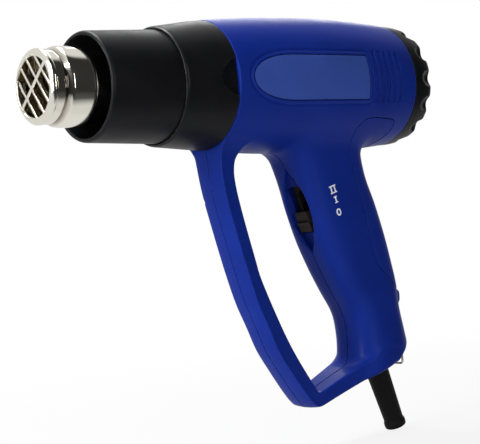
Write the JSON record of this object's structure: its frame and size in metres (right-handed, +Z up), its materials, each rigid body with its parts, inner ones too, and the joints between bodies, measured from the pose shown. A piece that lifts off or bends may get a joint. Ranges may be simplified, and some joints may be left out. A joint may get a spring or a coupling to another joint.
{
  "type": "hot air tool",
  "caption": "Pistol-shaped hot air tool with a looped hand guard, steel nozzle with a grille, vented rear cap and slide switch.",
  "frame": {"origin": "on the barrel's axis at the flat end of the rear cap, on which the tool stands with its nozzle up", "axes": "+X along the barrel away from the nozzle, out of the rear cap; +Z up, away from the grip; -Y towards the side with the inlaid panel"},
  "size_m": [0.265, 0.0801, 0.2582],
  "materials": {
    "housing_blue": "satin",
    "pad_blue": "matt",
    "panel_blue": "satin",
    "nozzle_chrome": "bright, slightly warm",
    "shield_black": "satin, heat-proof",
    "collar_black": "satin",
    "cap_black": "satin",
    "switch_black": "satin",
    "boot_rubber": "matt",
    "bail_steel": "bright wire",
    "plate_steel": "pressed plate",
    "mica": "mica sheet",
    "ceramic": "unglazed",
    "wire_steel": "resistance wire",
    "inner_ivory": "moulded",
    "motor_steel": "plated",
    "inner_black": "moulded",
    "magnet_black": "ferrite",
    "bush_brass": "turned",
    "armature_copper": "wound",
    "board_green": "board",
    "capacitor_blue": "moulded",
    "screw_steel": "plated"
  },
  "bodies": {
    "tool": {"air_funnel": "inner_ivory", "barrel_collar": "collar_black", "bush_back": "bush_brass", "bush_front": "bush_brass", "capacitor": "capacitor_blue", "cord_clamp": "inner_black", "fan_duct": "inner_ivory", "grip_pad": "pad_blue", "heat_shield": "shield_black", "heater_coil": "wire_steel", "heater_core": "ceramic", "heater_end_plate": "ceramic", "housing_far": "housing_blue", "housing_near": "housing_blue", "housing_screw_1": "screw_steel", "housing_screw_2": "screw_steel", "housing_screw_3": "screw_steel", "housing_screw_4": "screw_steel", "housing_screw_5": "screw_steel", "housing_screw_6": "screw_steel", "housing_screw_7": "screw_steel", "intake_screen": "plate_steel", "magnet_far": "magnet_black", "magnet_near": "magnet_black", "mica_liner": "mica", "motor_can": "motor_steel", "motor_end_cap": "inner_black", "nozzle_grille": "nozzle_chrome", "nozzle_tube": "nozzle_chrome", "rear_cap": "cap_black", "rectifier": "inner_black", "rectifier_board": "board_green", "shield_spacer": "plate_steel", "side_panel": "panel_blue", "strain_relief": "boot_rubber", "switch_body": "inner_black", "terminal_block": "inner_ivory", "thermal_cutout": "inner_ivory", "tube_holder": "plate_steel"},
    "rotor": {"armature": "armature_copper", "motor_shaft": "motor_steel", "fan_impeller": "inner_ivory"},
    "slider": {"switch_slider": "switch_black"},
    "bail": {"hanging_bail": "bail_steel"}
  },
  "joints": [
    {"name": "fan_spin", "type": "hinge", "parent": "tool", "child": "rotor", "pos_m": [-0.1, 0, 0], "axis": [1, 0, 0], "continuous": true},
    {"name": "switch_slide", "type": "slide", "parent": "tool", "child": "slider", "axis": [-0.2807, 0, 0.9598], "range_m": [0, 0.0142]},
    {"name": "bail_swing", "type": "hinge", "parent": "tool", "child": "bail", "pos_m": [-0.025, 0, -0.1665], "axis": [0, 1, 0], "range_deg": [-50, 33]}
  ]
}
